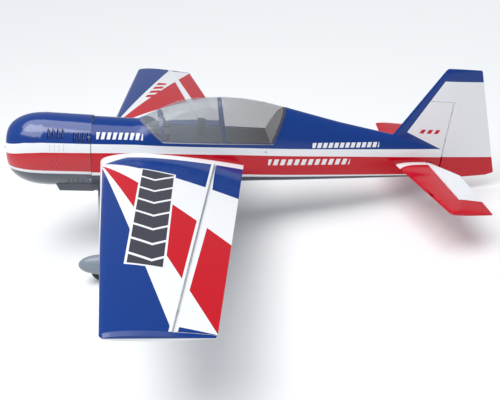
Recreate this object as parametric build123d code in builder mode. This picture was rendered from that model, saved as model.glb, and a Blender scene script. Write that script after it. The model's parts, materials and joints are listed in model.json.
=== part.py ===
from build123d import *
import math
import os

# Radio-controlled aerobatic monoplane with a taildragger undercarriage.
# Every piece is drawn with the fuselage level: X runs aft from the cowl's face, Y to starboard
# and Z up from the thrust line.  park() then tips it tail-down onto its wheels, where the
# origin is on the ground at the middle of the model's length.  All sizes are in millimetres.

# --- driving dimensions -------------------------------------------------------------------
COWL_SEAM = 243.0            # rear edge of the cowl
COWL_FACE = -14.0            # foremost edge of the cowl
COWL_SHOULDER = 100.0        # where the rounded nose reaches its full size
COWL_HALF_WIDTH = 94.0
COWL_HALF_HEIGHT = 116.5
COWL_TAPER = 4.0             # half height lost from the shoulder back to the seam
COWL_MIDDLE = -4.0           # height of the cowl's centre
COWL_SKIN = 1.6
INTAKE_RADIUS = 42.0
TAIL_POST = 1391.0           # rear end of the fuselage
HULL_SKIN = 2.0
CANOPY_FRONT = 378.0
CANOPY_REAR = 842.0
CANOPY_SILL = 58.0           # height of the canopy's lower edge
CANOPY_GAP = 0.4

WING_ROOT = 70.0             # span station of the innermost section, inside the fuselage
WING_TIP = 901.0
TIP_CAP = 8.0
ROOT_LEAD, ROOT_CHORD, ROOT_THICK, ROOT_HEIGHT = 268.0, 443.0, 60.0, -5.5
TIP_LEAD, TIP_CHORD, TIP_THICK, TIP_HEIGHT = 342.4, 225.2, 25.0, -1.6
WING_RISE = -0.012           # height change per millimetre aft: a little incidence
WING_SKIN = 1.8
AILERON_IN, AILERON_OUT = 108.0, 893.0
HINGE_IN, HINGE_OUT = 614.0, 480.0       # aileron hinge line at its two ends
HINGE_GAP = 1.2              # from a hinge line forward to the fixed surface
END_GAP = 1.2                # beside each end of a moving surface
BEVEL = 32.0                 # degrees each side of a moving surface's nose
TUBE_X, TUBE_RADIUS, TUBE_HALF = 420.0, 9.5, 330.0

STAB_HEIGHT = -14.0
STAB_HINGE = 1340.0
STAB_SPAN = 368.0
HORN_IN = 291.0              # inner edge of the elevators' horn balance
FIN_HINGE = 1393.0
FIN_TOP = 311.0
FIN_GAP = 203.0              # height of the rudder's horn balance
RUDDER_FOOT = -63.0

WHEEL_X, WHEEL_Y, WHEEL_Z = 290.0, 255.0, -283.0
WHEEL_RADIUS, WHEEL_WIDTH = 41.5, 24.0
AXLE_RADIUS = 2.5
TAIL_WHEEL_X, TAIL_WHEEL_Z = 1504.0, -103.0
TAIL_WHEEL_RADIUS, TAIL_WHEEL_WIDTH = 16.0, 9.0
TAIL_PIVOT = 1492.0

ARM = 24.0                   # servo arms and control horns share one radius
ROD_RADIUS = 1.2
PIN_RADIUS = 0.9
FIT = 0.05                   # running clearance on a radius
AILERON_LINK = 500.0         # span station of the aileron linkage
ELEVATOR_LINK = 50.0
RUDDER_LINK = -52.0          # height of the rudder linkage

# --- parked attitude ----------------------------------------------------------------------
REACH = TAIL_WHEEL_X - WHEEL_X
DROP = TAIL_WHEEL_Z - WHEEL_Z
RADIUS_STEP = WHEEL_RADIUS - TAIL_WHEEL_RADIUS
SIT = math.asin(RADIUS_STEP / math.hypot(REACH, DROP)) + math.atan2(DROP, REACH)
RIDE_HEIGHT = WHEEL_RADIUS + WHEEL_X * math.sin(SIT) - WHEEL_Z * math.cos(SIT)
MIDDLE = 771.0               # from the datum back to the middle of the parked model
PARKED = Location((-MIDDLE, 0, RIDE_HEIGHT), (0, math.degrees(SIT), 0))

# Fuselage stations: distance aft, half width, top, depth below the thrust line, lower squareness
HULL_TABLE = [
    (COWL_SEAM, 93.0, 105.0, 123.0, 4.0),
    (CANOPY_FRONT, 87.8, 102.7, 109.3, 3.6),
    (446.0, 86.0, 140.0, 104.0, 3.4),
    (500.0, 85.0, 166.5, 99.5, 3.3),
    (560.0, 83.5, 180.0, 95.0, 3.2),
    (640.0, 81.5, 186.5, 88.5, 3.1),
    (740.0, 78.0, 181.5, 82.5, 3.0),
    (846.0, 71.0, 160.0, 80.0, 3.0),
    (1023.0, 54.0, 119.0, 75.0, 3.0),
    (1221.0, 32.0, 82.0, 69.0, 3.0),
    (TAIL_POST, 11.0, 48.0, 63.0, 3.0),
]
HULL_STEPS = [
    COWL_SEAM, CANOPY_FRONT, 402, 424, 446, 470, 500, 535, 580, 640, 700, 770, 846, 930, 1023, 1120, 1221,
]
CANOPY_STEPS = [x for x in HULL_STEPS if CANOPY_FRONT <= x <= 1023]
FRONT_FORMER = 404.0
# Share of the cowl's full section that its flat face keeps
COWL_FACE_SHARE = 0.42
# Wheel fairing stations: distance aft, half height, half width
FAIRING_STATIONS = [
    (214.0, 2.5, 2.5),
    (219.0, 12.0, 10.5),
    (238.0, 24.5, 19.5),
    (269.0, 32.0, 25.0),
    (310.0, 35.0, 27.0),
    (370.0, 27.0, 21.0),
    (430.0, 11.5, 9.5),
    (455.0, 2.5, 2.5),
]
FAIRING_Z = -266.0


def park(piece, label):
    """Label a finished piece, sit it tail-down on its wheels and write its STEP file."""
    piece.label = label
    export_step(piece.moved(PARKED), f"parts/{label}.step")


def mix(low, high, share):
    """Straight-line blend between two values."""
    return low + (high - low) * share


def across(x):
    """Plane across the fuselage at a distance aft."""
    return Plane.YZ.offset(x)


def upright(y):
    """Fore-and-aft plane at a distance to starboard, with its own y axis upwards."""
    return Plane.XZ.offset(-y)


# --- outlines -----------------------------------------------------------------------------
def hull_size(x):
    """Half width, top, depth and squareness of the fuselage at a station, eased through the table."""
    place = max(k for k in range(len(HULL_TABLE) - 1) if HULL_TABLE[k][0] <= x)
    near, far = HULL_TABLE[place], HULL_TABLE[place + 1]
    run = far[0] - near[0]
    u = (x - near[0]) / run
    before = HULL_TABLE[place - 1] if place > 1 else near
    after = HULL_TABLE[place + 2] if 0 < place < len(HULL_TABLE) - 2 else far
    sizes = []
    for k in range(1, 5):
        rise = (far[k] - near[k]) / run
        start = rise if before is near else (far[k] - before[k]) / (far[0] - before[0])
        finish = rise if after is far else (after[k] - near[k]) / (after[0] - near[0])
        sizes.append(
            (2 * u**3 - 3 * u**2 + 1) * near[k] + (3 * u**2 - 2 * u**3) * far[k]
            + ((u**3 - 2 * u**2 + u) * start + (u**3 - u**2) * finish) * run
        )
    return sizes


def hull_section(x, skin=0.0, roof=None):
    """Fuselage section: half an ellipse above the thrust line, a squarer curve below."""
    half, top, depth, power = hull_size(x)
    top = roof or top
    points = []
    for step in range(16):
        turn = math.radians(22.5 * step)
        square = 2.0 if turn < math.pi else power
        reach = (top if turn < math.pi else depth) - skin
        y = math.copysign(abs(math.cos(turn)) ** (2 / square), math.cos(turn)) * (half - skin)
        z = math.copysign(abs(math.sin(turn)) ** (2 / square), math.sin(turn)) * reach
        points.append((y, z))
    with BuildSketch(across(x)) as section:
        with BuildLine():
            Spline(*points, periodic=True)
        make_face()
    return section.sketch


def cowl_size(x):
    """Half width and half height of the cowl: rounded in front, tapering slightly to the seam."""
    back = max(0.0, (COWL_SHOULDER - x) / (COWL_SHOULDER - COWL_FACE))
    share = COWL_FACE_SHARE + (1 - COWL_FACE_SHARE) * math.sqrt(1 - back * back)
    taper = COWL_TAPER * max(0.0, (x - COWL_SHOULDER) / (COWL_SEAM - COWL_SHOULDER))
    return COWL_HALF_WIDTH * share, COWL_HALF_HEIGHT * share - taper


def cowl_section(x, skin=0.0):
    """Cowl section: an ellipse."""
    half_width, half_height = cowl_size(x)
    with BuildSketch(across(x)) as section:
        with Locations((0, COWL_MIDDLE)):
            Ellipse(half_width - skin, half_height - skin)
    return section.sketch


def foil_half(share):
    """Half thickness of a symmetrical wing section, for a section one unit thick."""
    u = max(share, 0.0)
    return 5 * (0.2969 * math.sqrt(u) - 0.126 * u - 0.3516 * u**2 + 0.2843 * u**3 - 0.1036 * u**4)


FOIL_STEPS = 9               # points along each surface, closer together at the leading edge


def foil_points(lead, chord, thick, height=0.0, rise=0.0, skin=0.0, cut=1.0, edge=0.8):
    """Symmetrical wing section drawn in inside its skin: over the top to the nose and back below."""
    upper = [(lead + skin, 0.0)]
    for step in range(1, FOIL_STEPS + 1):
        share = cut * (1 - math.cos(math.pi / 2 * step / FOIL_STEPS))
        half = thick * foil_half(share) + edge * share - skin
        upper.append((lead + skin + (chord - skin) * share, half))
    middle = height - rise * (lead + chord / 2)
    above = [(x, middle + rise * x + half) for x, half in upper]
    below = [(x, middle + rise * x - half) for x, half in upper[1:]]
    return above[::-1] + below


def foil(plane, points):
    """Wing section as a face, its curve closed by a straight rear edge."""
    with BuildSketch(plane) as section:
        with BuildLine():
            Spline(*points)
            Line(points[-1], points[0])
        make_face()
    return section.sketch


def wing_points(span, skin=0.0, cut=1.0, shrink=0.0):
    """Points round the wing section at a span station."""
    share = (span - WING_ROOT) / (WING_TIP - WING_ROOT)
    lead = mix(ROOT_LEAD, TIP_LEAD, share) + shrink
    chord = mix(ROOT_CHORD, TIP_CHORD, share) - 1.6 * shrink
    thick = mix(ROOT_THICK, TIP_THICK, share) - 2 * shrink
    height = mix(ROOT_HEIGHT, TIP_HEIGHT, share)
    return foil_points(lead, chord, thick, height, WING_RISE, skin, cut)


def wing_section(side, span, skin=0.0, cut=1.0, shrink=0.0):
    """Wing section at a span station."""
    return foil(upright(side * span), wing_points(span, skin, cut, shrink))


def stab_section(side, span, skin=0.0, cut=1.0, shrink=0.0):
    """Tailplane section at a span station, full chord with its elevator."""
    share = span / STAB_SPAN
    lead = mix(1225.0, 1281.0, share) + shrink
    chord = mix(1431.0, 1410.0, share) - lead - 0.6 * shrink
    thick = mix(18.0, 12.0, share) - 1.6 * shrink
    points = foil_points(lead, chord, thick, STAB_HEIGHT, 0.0, skin, cut, 0.6)
    return foil(upright(side * span), points)


def fin_lead(z):
    """Leading edge of the fin at a height."""
    return 1219.0 + 0.602 * (z - 97.0)


def fin_trail(z):
    """Trailing edge of the rudder at a height."""
    return 1465.6 + 0.3825 * (FIN_TOP - z)


def fin_section(z, shrink=0.0):
    """Fin and rudder section at a height."""
    lead = fin_lead(z) + shrink
    thick = mix(20.5, 11.5, (z - RUDDER_FOOT) / (FIN_TOP - RUDDER_FOOT)) - 1.6 * shrink
    return foil(Plane.XY.offset(z), foil_points(lead, fin_trail(z) - lead - 0.6 * shrink, thick, edge=0.6))


def outline(plane, *points):
    """Closed straight-sided outline on a plane."""
    with BuildSketch(plane) as shape:
        with BuildLine():
            Polyline(*points, close=True)
        make_face()
    return shape.sketch


def disc(plane, radius, x=0.0, y=0.0):
    """Round outline on a plane."""
    with BuildSketch(plane) as shape:
        with Locations((x, y)):
            Circle(radius)
    return shape.sketch


def panel(plane, wide, high, x=0.0, y=0.0):
    """Rectangular outline on a plane."""
    with BuildSketch(plane) as shape:
        with Locations((x, y)):
            Rectangle(wide, high)
    return shape.sketch


# --- hinge lines and linkage seats --------------------------------------------------------
def aileron_hinge(side, span):
    """Point on an aileron's hinge line."""
    share = (span - AILERON_IN) / (AILERON_OUT - AILERON_IN)
    x = mix(HINGE_IN, HINGE_OUT, share)
    along = (span - WING_ROOT) / (WING_TIP - WING_ROOT)
    centre = mix(ROOT_LEAD + ROOT_CHORD / 2, TIP_LEAD + TIP_CHORD / 2, along)
    return Vector(x, side * span, mix(ROOT_HEIGHT, TIP_HEIGHT, along) + WING_RISE * (x - centre))


def aileron_seat(side, span):
    """Plane on the aileron hinge line: Z along the line to port, X aft, Y up."""
    inner = aileron_hinge(side, AILERON_IN)
    outer = aileron_hinge(side, AILERON_OUT)
    line = (inner - outer) * side
    aft = Vector(0, 0, 1).cross(line)
    return Plane(origin=aileron_hinge(side, span), x_dir=aft, z_dir=line)


def stab_seat(y):
    """Plane on the elevator hinge line: Z to port, X aft, Y up."""
    return Plane(origin=(STAB_HINGE, y, STAB_HEIGHT), x_dir=(1, 0, 0), z_dir=(0, -1, 0))


def fin_seat(z):
    """Plane on the rudder hinge line: Z up, X aft, Y to starboard."""
    return Plane(origin=(FIN_HINGE, 0, z), x_dir=(1, 0, 0), z_dir=(0, 0, 1))


def shift(seat, x, y, z=0.0):
    """A seat moved within its own axes."""
    origin = seat.origin + seat.x_dir * x + seat.y_dir * y + seat.z_dir * z
    return Plane(origin=origin, x_dir=seat.x_dir, z_dir=seat.z_dir)


def bevel_nose(seat, reach):
    """Trim a moving surface to a V nose along its hinge line, reach each way from the seat."""
    slope = math.tan(math.radians(BEVEL))
    deep = 40.0
    shape = outline(
        seat, (-60, -deep), (0.3 + slope * deep, -deep), (0.3, 0), (0.3 + slope * deep, deep), (-60, deep)
    )
    extrude(shape, amount=reach, both=True, mode=Mode.SUBTRACT)


def hinge_piece(seat, grow=0.0, mode=Mode.ADD):
    """Pin hinge on a hinge line: a barrel on the line, a leaf forward into the spar and the pin."""
    extrude(disc(seat, 2.2 + grow), amount=4 + grow, both=True, mode=mode)
    extrude(panel(seat, 16 + grow, 1.6 + 2 * grow, -9, 0), amount=4 + grow, both=True, mode=mode)
    if mode == Mode.ADD:
        extrude(disc(seat, 0.8), amount=8, both=True, mode=mode)


def hinge_relief(seat):
    """Room for a hinge barrel and its pin in a moving surface."""
    extrude(panel(seat, 12, 12, -2.2, 0), amount=4.6, both=True, mode=Mode.SUBTRACT)
    extrude(disc(seat, 0.8 + FIT), amount=8.4, both=True, mode=Mode.SUBTRACT)


def hinge_pocket(seat):
    """Room for a hinge's barrel and leaf in the fixed surface ahead of the hinge line."""
    extrude(panel(seat, 5.2, 5.2, 0, 0), amount=4.6, both=True, mode=Mode.SUBTRACT)
    extrude(panel(seat, 16.2, 1.7, -9, 0), amount=4.05, both=True, mode=Mode.SUBTRACT)


AILERON_HINGES = [180.0, 360.0, 640.0, 820.0]
ELEVATOR_HINGES = [80.0, 175.0, 262.0]
RUDDER_HINGES = [-30.0, 70.0, 165.0]
AILERON_SERVO = (-75.0, -6.0)        # servo shaft from the hinge line, aft and up in its seat
ELEVATOR_SERVO = (-230.0, 0.0)
RUDDER_SERVO = (-213.0, 14.0)


def build_servo(seat, label, body):
    """Servo with its output shaft on the seat's Z axis; body is the side its case lies on."""
    with BuildPart() as servo:
        case = panel(shift(seat, 0, 0, -4 * body), 40, 19.6, -10, 0)
        extrude(case, amount=-36 * body)
        lugs = panel(shift(seat, 0, 0, -12 * body), 54, 18, -10, 0)
        extrude(lugs, amount=-2.5 * body)
        extrude(disc(seat, 3.0), amount=-4 * body)
    park(servo.part, label)


def build_arm(seat, label, down, body):
    """Servo arm from the output shaft to its pivot pin."""
    with BuildPart() as arm:
        hub = shift(seat, 0, 0, 0.1 * body)
        extrude(disc(hub, 5.0), amount=2.6 * body)
        extrude(panel(hub, 5.0, ARM, 0, down * ARM / 2), amount=2.6 * body)
        tip = shift(hub, 0, down * ARM)
        extrude(disc(tip, 2.5), amount=2.6 * body)
        extrude(disc(tip, PIN_RADIUS), amount=6.6 * body)
    park(arm.part, label)


def build_horn(seat, label, down, body, foot):
    """Control horn: a plate on the moving surface out to its pivot pin."""
    with BuildPart() as horn:
        plate = shift(seat, 0, 0, 0.1 * body)
        shape = outline(
            plate,
            (foot[0], down * foot[1]), (foot[2], down * foot[1]), (2.5, down * ARM), (-2.5, down * ARM),
        )
        extrude(shape, amount=2.6 * body)
        tip = shift(plate, 0, down * ARM)
        extrude(disc(tip, 2.5), amount=2.6 * body)
        extrude(disc(tip, PIN_RADIUS), amount=6.6 * body)
    park(horn.part, label)


def build_rod(seat, servo_place, label, down, body):
    """Pushrod from a servo arm's pin to a horn's pin, with an eye at each end."""
    front = shift(seat, servo_place[0], servo_place[1] + down * ARM, 3.1 * body)
    rear = shift(seat, 0, down * ARM, 3.1 * body)
    way = rear.origin - front.origin
    with BuildPart() as rod:
        for end in (front, rear):
            extrude(disc(end, 3.0), amount=3.0 * body)
        middle = front.origin + way.normalized() * 2.0 + seat.z_dir * (1.5 * body)
        shaft = Plane(origin=middle, z_dir=way)
        extrude(disc(shaft, ROD_RADIUS), amount=way.length - 4.0)
        extrude(disc(front, PIN_RADIUS + FIT), amount=3.0 * body, mode=Mode.SUBTRACT)
        extrude(disc(rear, PIN_RADIUS + 0.3), amount=3.0 * body, mode=Mode.SUBTRACT)
    park(rod.part, label)


os.makedirs("parts", exist_ok=True)

# --- fuselage form, used whole to trim what joins it ---------------------------------------
with BuildPart() as hull:
    loft([hull_section(x) for x in HULL_STEPS + [1305, TAIL_POST]], ruled=True)

with BuildPart() as canopy_block:
    # side view of the cut-out: sloping front edge, level sill, raked rear edge
    extrude(
        outline(
            upright(0), (370, 110), (384, 104.6), (392, 102.4), (401.5, 98.5), (412, 91.4),
            (432, 74.9), (449, 61.6), (458, CANOPY_SILL),
            (801, CANOPY_SILL + 2), (CANOPY_REAR, 162), (CANOPY_REAR, 240), (370, 240),
        ),
        amount=120,
        both=True,
    )


# --- tailplane, in one piece through the fuselage -------------------------------------------
with BuildPart() as stabilizer:
    for side in (-1, 1):
        loft([stab_section(side, 0), stab_section(side, HORN_IN - END_GAP)], ruled=True)
    rear = panel(Plane.XY.offset(STAB_HEIGHT), 200, 2 * STAB_SPAN, STAB_HINGE - HINGE_GAP + 100, 0)
    extrude(rear, amount=30, both=True, mode=Mode.SUBTRACT)
    for side in (-1, 1):
        for span in ELEVATOR_HINGES:
            hinge_pocket(stab_seat(side * span))
    # lightening pockets opened from inside, between a front and a rear spar
    for side in (-1, 1):
        bay = panel(Plane.XY.offset(STAB_HEIGHT), 60, 210, 1295, side * 155)
        extrude(bay, amount=4, both=True, mode=Mode.SUBTRACT)
park(stabilizer.part, "stabilizer")

# --- fuselage shell -------------------------------------------------------------------------
with BuildPart() as fuselage:
    add(hull.part)
    add(canopy_block.part, mode=Mode.SUBTRACT)
    loft([hull_section(x, HULL_SKIN) for x in HULL_STEPS], ruled=True, mode=Mode.SUBTRACT)
    add(stabilizer.part, mode=Mode.SUBTRACT)
    # slot for the elevator joiner
    joiner_slot = panel(upright(0), 15, 18, STAB_HINGE + 12, STAB_HEIGHT)
    extrude(joiner_slot, amount=40, both=True, mode=Mode.SUBTRACT)
    # holes for the wing tube
    tube_hole = disc(upright(0), TUBE_RADIUS, TUBE_X, ROOT_HEIGHT)
    extrude(tube_hole, amount=110, both=True, mode=Mode.SUBTRACT)
    # elevator servo opening and the rudder arm's slot, both on the starboard side
    elevator_servo = shift(stab_seat(ELEVATOR_LINK), *ELEVATOR_SERVO)
    extrude(panel(shift(elevator_servo, 0, 0, 1), 54.6, 20.2, -10, 0), amount=30, mode=Mode.SUBTRACT)
    rudder_slot = panel(Plane.XY.offset(RUDDER_LINK - 9), 42, 60, FIN_HINGE + RUDDER_SERVO[0], 38)
    extrude(rudder_slot, amount=11, mode=Mode.SUBTRACT)
    hinge_pocket(fin_seat(RUDDER_HINGES[0]))
park(fuselage.part, "fuselage")

# --- formers inside the fuselage ------------------------------------------------------------
with BuildPart() as fuselage_formers:
    for x in (COWL_SEAM, 1023):
        extrude(hull_section(x, HULL_SKIN + 1.6), amount=3)
        extrude(hull_section(x, 0.42 * hull_size(x)[0]), amount=3, mode=Mode.SUBTRACT)
    # the former under the canopy's front edge and the one behind the cockpit stop at the sill
    for x in (FRONT_FORMER, 846):
        extrude(hull_section(x, HULL_SKIN + 1.6, 52.0), amount=3)
        extrude(hull_section(x, 20.0, 52.0), amount=3, mode=Mode.SUBTRACT)
park(fuselage_formers.part, "fuselage_formers")

# --- canopy hatch: glass, frame with two bows, and the cockpit floor ------------------------
with BuildPart() as hatch_window:
    extrude(
        outline(
            upright(0), (371, 111), (385, 105.3), (393, 103.1), (402.2, 99.3), (412.7, 92.1),
            (432.6, 75.6), (449.6, 62.2), (458.3, CANOPY_SILL + CANOPY_GAP),
            (800.6, CANOPY_SILL + 2.4),
            (CANOPY_REAR - 0.6, 163), (CANOPY_REAR - 0.6, 240), (371, 240),
        ),
        amount=120,
        both=True,
    )

def canopy_form(skin):
    """Canopy bulge, drawn in by a skin, as far as the hatch window shows it."""
    with BuildPart() as form:
        loft([hull_section(x, skin) for x in CANOPY_STEPS], ruled=True)
        add(hatch_window.part, mode=Mode.INTERSECT)
    return form.part


with BuildPart() as canopy_glass:
    add(canopy_form(0.0))
    add(canopy_form(1.5), mode=Mode.SUBTRACT)
park(canopy_glass.part, "canopy_glass")

with BuildPart() as frame_bands:
    # strips along the lower, front and rear edges, and the two raked bows
    for band in (
        [(450, 50), (806, 50), (806, 63.5), (450, 63.5)],
        [
            (370, 104), (383, 101), (391, 99.5), (399.5, 95.5), (410, 88.5), (430, 72),
            (447, 58.5), (455, 52), (462, 62), (451, 66.5), (434.5, 79), (414.5, 95.5),
            (403.5, 103), (393, 107.5), (384, 110), (372, 114),
        ],
        [(799, 50), (851, 182), (845, 185), (793, 58)],
        [(459, 56), (469, 56), (443, 150), (433, 150)],
        [(642, 56), (653, 56), (630, 200), (619, 200)],
    ):
        extrude(outline(upright(0), *band), amount=120, both=True)

with BuildPart() as canopy_frame:
    add(canopy_form(1.6))
    add(frame_bands.part, mode=Mode.INTERSECT)
    add(canopy_form(5.0), mode=Mode.SUBTRACT)
park(canopy_frame.part, "canopy_frame")

with BuildPart() as bulkhead:
    loft([hull_section(x, 5.6) for x in (770, 846)], ruled=True)
    raked = outline(upright(0), (790, 62.5), (793, 62.5), (831, 158), (828, 158))
    extrude(raked, amount=120, both=True, mode=Mode.INTERSECT)

with BuildPart() as cockpit_floor:
    floor = outline(Plane.XY.offset(CANOPY_SILL + 3), (476, 70), (795, 60), (795, -60), (476, -70))
    extrude(floor, amount=2)
    # head rest on its post, and a raked bulkhead that closes the rear of the cockpit
    extrude(outline(upright(0), (568, 62), (578, 62), (578, 86), (568, 86)), amount=5, both=True)
    extrude(outline(upright(0), (560, 84), (586, 84), (588, 110), (564, 112)), amount=14, both=True)
    add(bulkhead.part)
park(cockpit_floor.part, "cockpit_floor")

# --- cowl -----------------------------------------------------------------------------------
NOSE_STEPS = [COWL_FACE, -11.5, -5.0, 6.0, 25.0, 54.0, COWL_SHOULDER]
with BuildPart() as cowl:
    loft([cowl_section(x) for x in NOSE_STEPS])
    loft([cowl_section(COWL_SHOULDER), cowl_section(COWL_SEAM)], ruled=True)
    # chin scoop under the rear of the cowl
    chin = outline(
        Plane.XZ.offset(-53), (118, -70), (127, -98), (138, -122.5), (COWL_SEAM, -122.5), (COWL_SEAM, -70)
    )
    extrude(chin, amount=106)
    loft([cowl_section(x, COWL_SKIN) for x in NOSE_STEPS[1:]], mode=Mode.SUBTRACT)
    rear_hollow = [cowl_section(x, COWL_SKIN) for x in (COWL_SHOULDER, COWL_SEAM)]
    loft(rear_hollow, ruled=True, mode=Mode.SUBTRACT)
    scoop = outline(Plane.XZ.offset(-51), (142, -90), (142, -120.7), (COWL_SEAM, -120.7), (COWL_SEAM, -90))
    extrude(scoop, amount=102, mode=Mode.SUBTRACT)
    intake = disc(across(COWL_FACE - 5), INTAKE_RADIUS, 0, COWL_MIDDLE)
    extrude(intake, amount=30, mode=Mode.SUBTRACT)
    # cooling louvres: two banks of upright slots in each side
    for bank, height in ((118.0, 74.0), (192.0, 66.0)):
        for slot in range(4):
            louvre = panel(upright(0), 2.6, 26, bank + 13.5 * slot, height)
            extrude(louvre, amount=120, both=True, mode=Mode.SUBTRACT)
park(cowl.part, "cowl")


# --- fin ------------------------------------------------------------------------------------
with BuildPart() as fin:
    loft([fin_section(38.0), fin_section(FIN_GAP)], ruled=True)
    rear_face = FIN_HINGE - HINGE_GAP
    rear = outline(Plane.XY, (rear_face, -40), (1700, -40), (1700, 40), (rear_face, 40))
    extrude(rear, amount=400, mode=Mode.SUBTRACT)
    add(hull.part, mode=Mode.SUBTRACT)
    for height in RUDDER_HINGES[1:]:
        hinge_pocket(fin_seat(height))
park(fin.part.solids().sort_by(SortBy.VOLUME)[-1], "fin")


# --- wing panels and their inner structure --------------------------------------------------
def aileron_window(side, gap_ahead, gap_inside):
    """Plan outline of the aileron's place in the wing."""
    inner = aileron_hinge(side, AILERON_IN)
    outer = aileron_hinge(side, AILERON_OUT)
    return outline(
        Plane.XY,
        (inner.X - gap_ahead, side * (AILERON_IN + gap_inside)),
        (outer.X - gap_ahead, side * (AILERON_OUT - gap_inside)),
        (outer.X + 200, side * (AILERON_OUT - gap_inside)),
        (inner.X + 200, side * (AILERON_IN + gap_inside)),
    )


def build_wing(side, name):
    """Sheeted wing panel, hollow ahead of its rear spar and open at the root."""
    cap = WING_TIP - TIP_CAP
    with BuildPart() as wing:
        loft([wing_section(side, WING_ROOT), wing_section(side, cap)], ruled=True)
        loft([wing_section(side, cap), wing_section(side, WING_TIP, shrink=6.0)], ruled=True)
        extrude(aileron_window(side, HINGE_GAP, 0), amount=60, both=True, mode=Mode.SUBTRACT)
        hollow = [wing_section(side, span, WING_SKIN, 0.56) for span in (WING_ROOT, cap - 6)]
        loft(hollow, ruled=True, mode=Mode.SUBTRACT)
        add(hull.part, mode=Mode.SUBTRACT)
        for span in AILERON_HINGES:
            hinge_pocket(aileron_seat(side, span))
        seat = shift(aileron_seat(side, AILERON_LINK), *AILERON_SERVO)
        slot = panel(Plane.XY.offset(seat.origin.Z), 46, 8, seat.origin.X, seat.origin.Y + 1.5 * side)
        extrude(slot, amount=-40, mode=Mode.SUBTRACT)
    park(wing.part.solids().sort_by(SortBy.VOLUME)[-1], name)


for side, hand in ((-1, "left"), (1, "right")):
    build_wing(side, f"{hand}_wing")

with BuildPart() as wing_ribs:
    # ribs inside both wing panels, with the inner ones bored for the wing tube
    for side in (-1, 1):
        for span in (118.0, 220.0, 318.0, 420.0, 570.0, 680.0, 790.0):
            rib = outline(upright(side * span), *wing_points(span, WING_SKIN + 0.5, 0.55))
            extrude(rib, amount=-side * 3)
            share = (span - WING_ROOT) / (WING_TIP - WING_ROOT)
            lead, chord = mix(ROOT_LEAD, TIP_LEAD, share), mix(ROOT_CHORD, TIP_CHORD, share)
            thick = mix(ROOT_THICK, TIP_THICK, share)
            for hole, size in ((0.16, 0.26), (0.46, 0.2)):
                opening = disc(upright(side * span), size * thick, lead + chord * hole, -3.5)
                extrude(opening, amount=12, both=True, mode=Mode.SUBTRACT)
            if span < TUBE_HALF:
                bore = disc(upright(side * span), TUBE_RADIUS + 0.1, TUBE_X, ROOT_HEIGHT)
                extrude(bore, amount=12, both=True, mode=Mode.SUBTRACT)
park(wing_ribs.part, "wing_ribs")

with BuildPart() as wing_tube:
    ring = upright(-TUBE_HALF)
    extrude(disc(ring, TUBE_RADIUS, TUBE_X, ROOT_HEIGHT), amount=-2 * TUBE_HALF)
    extrude(disc(ring, TUBE_RADIUS - 1.2, TUBE_X, ROOT_HEIGHT), amount=-2 * TUBE_HALF, mode=Mode.SUBTRACT)
park(wing_tube.part, "wing_tube")

with BuildPart() as wing_bolts:
    # one nylon thumb bolt inside each fuselage side holds each panel on the tube
    for side in (-1, 1):
        head = upright(side * 76)
        extrude(disc(head, 7, 520, -7), amount=side * 4)
        extrude(disc(head, 3, 520, -7), amount=side * 14)
park(wing_bolts.part, "wing_bolts")


# --- ailerons -------------------------------------------------------------------------------
def build_aileron(side, name):
    """Aileron cut from the wing's own outline, with a V nose on the hinge line."""
    with BuildPart() as aileron:
        loft([wing_section(side, WING_ROOT), wing_section(side, WING_TIP - TIP_CAP)], ruled=True)
        extrude(aileron_window(side, -0.2, END_GAP), amount=60, both=True, mode=Mode.INTERSECT)
        bevel_nose(aileron_seat(side, 500.0), 480)
        for span in AILERON_HINGES:
            hinge_relief(aileron_seat(side, span))
    park(aileron.part.solids().sort_by(SortBy.VOLUME)[-1], name)


for side, hand in ((-1, "left"), (1, "right")):
    build_aileron(side, f"{hand}_aileron")
    seat = aileron_seat(side, AILERON_LINK)
    place = shift(seat, *AILERON_SERVO)
    build_servo(place, f"{hand}_aileron_servo", -side)
    build_arm(place, f"{hand}_aileron_arm", -1, -side)
    build_horn(seat, f"{hand}_aileron_horn", -1, -side, (9, 11.8, 26))
    build_rod(seat, AILERON_SERVO, f"{hand}_aileron_pushrod", -1, -side)


# --- elevators ------------------------------------------------------------------------------
def build_elevator(side, name):
    """Elevator half with its horn balance, cut away inboard for the rudder."""
    with BuildPart() as elevator:
        loft([stab_section(side, 0), stab_section(side, STAB_SPAN - 6)], ruled=True)
        loft([stab_section(side, STAB_SPAN - 6), stab_section(side, STAB_SPAN, shrink=3.5)], ruled=True)
        shape = outline(
            Plane.XY.offset(STAB_HEIGHT),
            (STAB_HINGE + 0.2, side * 19),
            (STAB_HINGE + 8, side * 19),
            (1430, side * 109),
            (1450, side * 109),
            (1450, side * 400),
            (1200, side * 400),
            (1200, side * HORN_IN),
            (STAB_HINGE + 0.2, side * HORN_IN),
        )
        extrude(shape, amount=30, both=True, mode=Mode.INTERSECT)
        bevel_nose(stab_seat(side * HORN_IN / 2), HORN_IN / 2)
        for span in ELEVATOR_HINGES:
            hinge_relief(stab_seat(side * span))
        # bore for the joiner's bent end
        joint = disc(upright(side * 17), 2.0, STAB_HINGE + 12, STAB_HEIGHT)
        extrude(joint, amount=-side * 22, mode=Mode.SUBTRACT)
    park(elevator.part.solids().sort_by(SortBy.VOLUME)[-1], name)


for side, hand in ((-1, "left"), (1, "right")):
    build_elevator(side, f"{hand}_elevator")

with BuildPart() as elevator_joiner:
    extrude(disc(upright(-38), 2.0, STAB_HINGE + 12, STAB_HEIGHT), amount=-76)
park(elevator_joiner.part, "elevator_joiner")

seat = stab_seat(ELEVATOR_LINK)
place = shift(seat, *ELEVATOR_SERVO)
build_servo(place, "elevator_servo", -1)
build_arm(place, "elevator_arm", -1, -1)
build_horn(seat, "elevator_horn", -1, -1, (6, 8.6, 24))
build_rod(seat, ELEVATOR_SERVO, "elevator_pushrod", -1, -1)

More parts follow.
